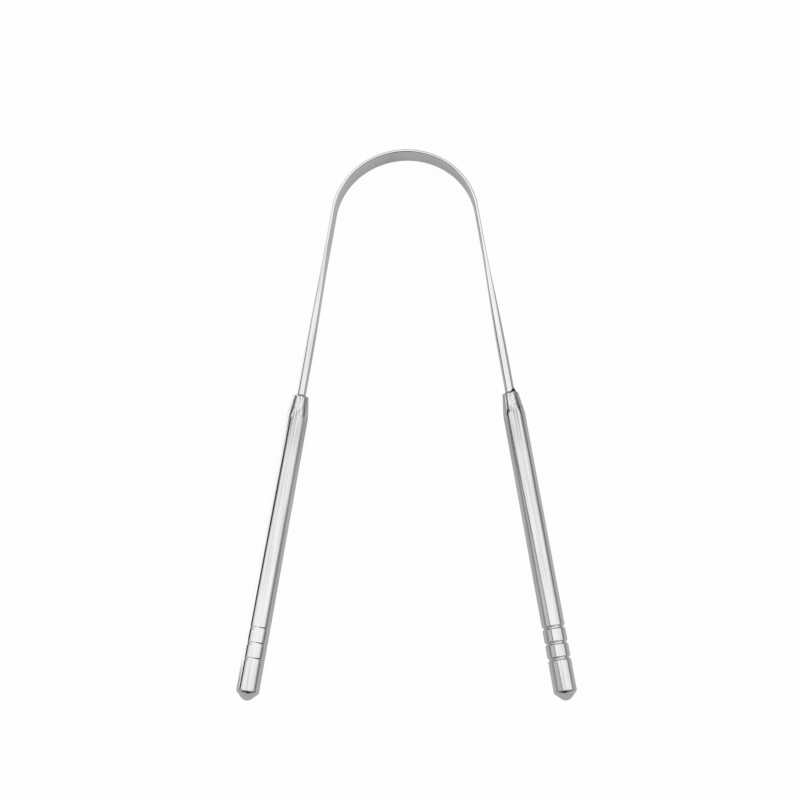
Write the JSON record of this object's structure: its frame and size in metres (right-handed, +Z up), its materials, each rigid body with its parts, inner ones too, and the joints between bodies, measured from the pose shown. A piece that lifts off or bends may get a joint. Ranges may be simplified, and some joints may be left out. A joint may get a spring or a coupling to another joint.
{
  "type": "tongue scraper",
  "caption": "U-shaped metal tongue scraper: a flat sprung bow held between two slim round handles with rolled grip grooves.",
  "frame": {"origin": "centre of the bounding box on the surface that the scraper lies on: the middle between the handles, half way along, at the lower edge of the band", "axes": "+Y along the centre line from the handle ends to the arch, +Z up through the width of the band as the scraper lies, +X across to the right handle"},
  "size_m": [0.0884, 0.1556, 0.006],
  "materials": {
    "bow_steel": "polished spring stainless steel",
    "handle_steel": "polished stainless steel tube",
    "plug_steel": "polished stainless steel"
  },
  "bodies": {
    "root": {"scraper_bow": "bow_steel", "left_handle": "handle_steel", "right_handle": "handle_steel", "left_end_plug": "plug_steel", "right_end_plug": "plug_steel"}
  },
  "joints": []
}
